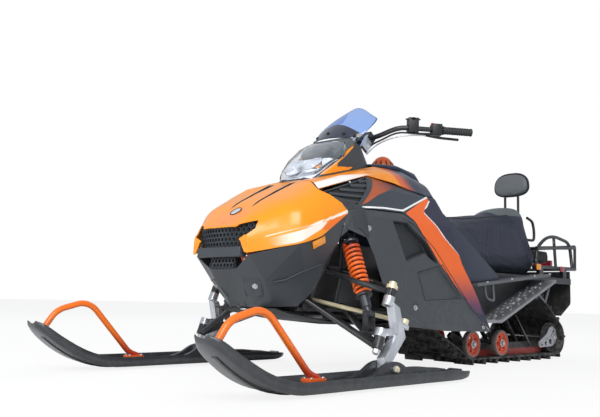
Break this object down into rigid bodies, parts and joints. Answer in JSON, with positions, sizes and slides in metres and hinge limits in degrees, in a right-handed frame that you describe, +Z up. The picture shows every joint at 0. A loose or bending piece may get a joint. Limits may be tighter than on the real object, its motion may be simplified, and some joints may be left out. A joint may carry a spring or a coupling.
{
  "type": "utility snowmobile with a single track, two skis and a rear rack",
  "caption": "Utility snowmobile: two steered skis, rubber track under a tunnel, long seat with backrest, rear rack, headlight pod and low windshield.",
  "frame": {"origin": "centre of the vehicle's bounding box, on the ground", "axes": "+X forward over the skis, +Y to the rider's left, +Z up"},
  "size_m": [2.905, 1.18, 1.1275],
  "materials": {
    "hood": "gloss orange with pale stripes along the lower sides",
    "nose_grille": "black mesh",
    "nose_bar": "moulded grey plastic",
    "front_fascia": "dark grey grained plastic",
    "side_reflectors": "amber reflector plastic",
    "belly_pan": "black plastic",
    "front_frame": "black painted tube",
    "engine": "cast metal block",
    "headlight_pod": "dark grey plastic with orange trim",
    "headlight_lens": "clear lens",
    "headlight_reflectors": "bright reflector",
    "windshield": "blue tinted plastic",
    "console": "dark navy gloss",
    "filler_cap": "orange cap",
    "side_shrouds": "orange fading to navy with white lines",
    "side_vents": "black louvres",
    "side_panels": "dark grey grained plastic",
    "rear_covers": "dark navy plastic",
    "seat": "dark navy coated cover with a grey rear patch",
    "backrest_pad": "grey padded cover",
    "backrest_posts": "black rods",
    "grab_bar": "black tube",
    "rear_rack": "black tube",
    "rack_box": "black plastic",
    "tail_light": "red lens",
    "snow_flap": "black rubber",
    "tunnel": "dark painted sheet",
    "running_boards": "worn bare aluminium",
    "foot_rails": "grey bare metal",
    "track": "black lugged rubber",
    "slide_rails": "red painted rails",
    "idler_wheels": "orange red wheels with rubber rims",
    "rear_wheels": "cast aluminium",
    "drive_axle": "steel",
    "skid_arms": "black painted tube",
    "hitch": "black painted plate",
    "upper_arms": "black painted tube",
    "lower_arms": "black painted tube",
    "dampers": "dark damper",
    "coil_springs": "orange coil",
    "steering_post": "black tube",
    "handlebar": "black tube with silver clamp",
    "grips": "black rubber",
    "brake_lever": "black lever and reservoir",
    "switch_pods": "black plastic",
    "spindle_left": "silver forged steel",
    "tie_rod_left": "gold plated rod",
    "ski_left": "dark grey plastic",
    "ski_loop_left": "orange plastic handle",
    "spindle_right": "silver forged steel",
    "tie_rod_right": "gold plated rod",
    "ski_right": "dark grey plastic",
    "ski_loop_right": "orange plastic handle"
  },
  "bodies": {
    "chassis": {"hood": "hood", "nose_grille": "nose_grille", "nose_bar": "nose_bar", "front_fascia": "front_fascia", "side_reflectors": "side_reflectors", "belly_pan": "belly_pan", "front_frame": "front_frame", "engine": "engine", "headlight_pod": "headlight_pod", "headlight_lens": "headlight_lens", "headlight_reflectors": "headlight_reflectors", "windshield": "windshield", "console": "console", "filler_cap": "filler_cap", "side_shrouds": "side_shrouds", "side_vents": "side_vents", "side_panels": "side_panels", "rear_covers": "rear_covers", "seat": "seat", "backrest_pad": "backrest_pad", "backrest_posts": "backrest_posts", "grab_bar": "grab_bar", "rear_rack": "rear_rack", "rack_box": "rack_box", "tail_light": "tail_light", "snow_flap": "snow_flap", "tunnel": "tunnel", "running_boards": "running_boards", "foot_rails": "foot_rails", "track": "track", "slide_rails": "slide_rails", "idler_wheels": "idler_wheels", "rear_wheels": "rear_wheels", "drive_axle": "drive_axle", "skid_arms": "skid_arms", "hitch": "hitch", "upper_arms": "upper_arms", "lower_arms": "lower_arms", "dampers": "dampers", "coil_springs": "coil_springs"},
    "steering": {"steering_post": "steering_post", "handlebar": "handlebar", "grips": "grips", "brake_lever": "brake_lever", "switch_pods": "switch_pods"},
    "spindle_body_left": {"spindle_left": "spindle_left"},
    "tie_rod_body_left": {"tie_rod_left": "tie_rod_left"},
    "ski_body_left": {"ski_left": "ski_left", "ski_loop_left": "ski_loop_left"},
    "spindle_body_right": {"spindle_right": "spindle_right"},
    "tie_rod_body_right": {"tie_rod_right": "tie_rod_right"},
    "ski_body_right": {"ski_right": "ski_right", "ski_loop_right": "ski_loop_right"}
  },
  "joints": [
    {"name": "steering_turn", "type": "hinge", "parent": "chassis", "child": "steering", "pos_m": [0.6915, 0, 0.365], "axis": [-0.6101, 0, 0.7923], "range_deg": [-30, 30]},
    {"name": "spindle_turn_left", "type": "hinge", "parent": "chassis", "child": "spindle_body_left", "pos_m": [0.6765, 0.485, 0.17], "axis": [-0.3584, 0, 0.9336], "range_deg": [-22.5, 22.5]},
    {"name": "tie_rod_swing_left", "type": "hinge", "parent": "spindle_body_left", "child": "tie_rod_body_left", "pos_m": [0.56768, 0.5, 0.19678], "axis": [-0.3584, 0, 0.9336], "range_deg": [-24, 24]},
    {"name": "ski_pitch_left", "type": "hinge", "parent": "spindle_body_left", "child": "ski_body_left", "pos_m": [0.6665, 0.5, 0.058], "axis": [0, 1, 0], "range_deg": [-20, 15]},
    {"name": "spindle_turn_right", "type": "hinge", "parent": "chassis", "child": "spindle_body_right", "pos_m": [0.6765, -0.485, 0.17], "axis": [-0.3584, 0, 0.9336], "range_deg": [-22.5, 22.5]},
    {"name": "tie_rod_swing_right", "type": "hinge", "parent": "spindle_body_right", "child": "tie_rod_body_right", "pos_m": [0.56768, -0.5, 0.19678], "axis": [-0.3584, 0, 0.9336], "range_deg": [-24, 24]},
    {"name": "ski_pitch_right", "type": "hinge", "parent": "spindle_body_right", "child": "ski_body_right", "pos_m": [0.6665, -0.5, 0.058], "axis": [0, 1, 0], "range_deg": [-20, 15]}
  ],
  "couplings": [
    {"joint": "spindle_turn_left", "follows": "steering_turn", "ratio": 0.75},
    {"joint": "tie_rod_swing_left", "follows": "steering_turn", "ratio": -0.78},
    {"joint": "spindle_turn_right", "follows": "steering_turn", "ratio": 0.75},
    {"joint": "tie_rod_swing_right", "follows": "steering_turn", "ratio": -0.78}
  ]
}
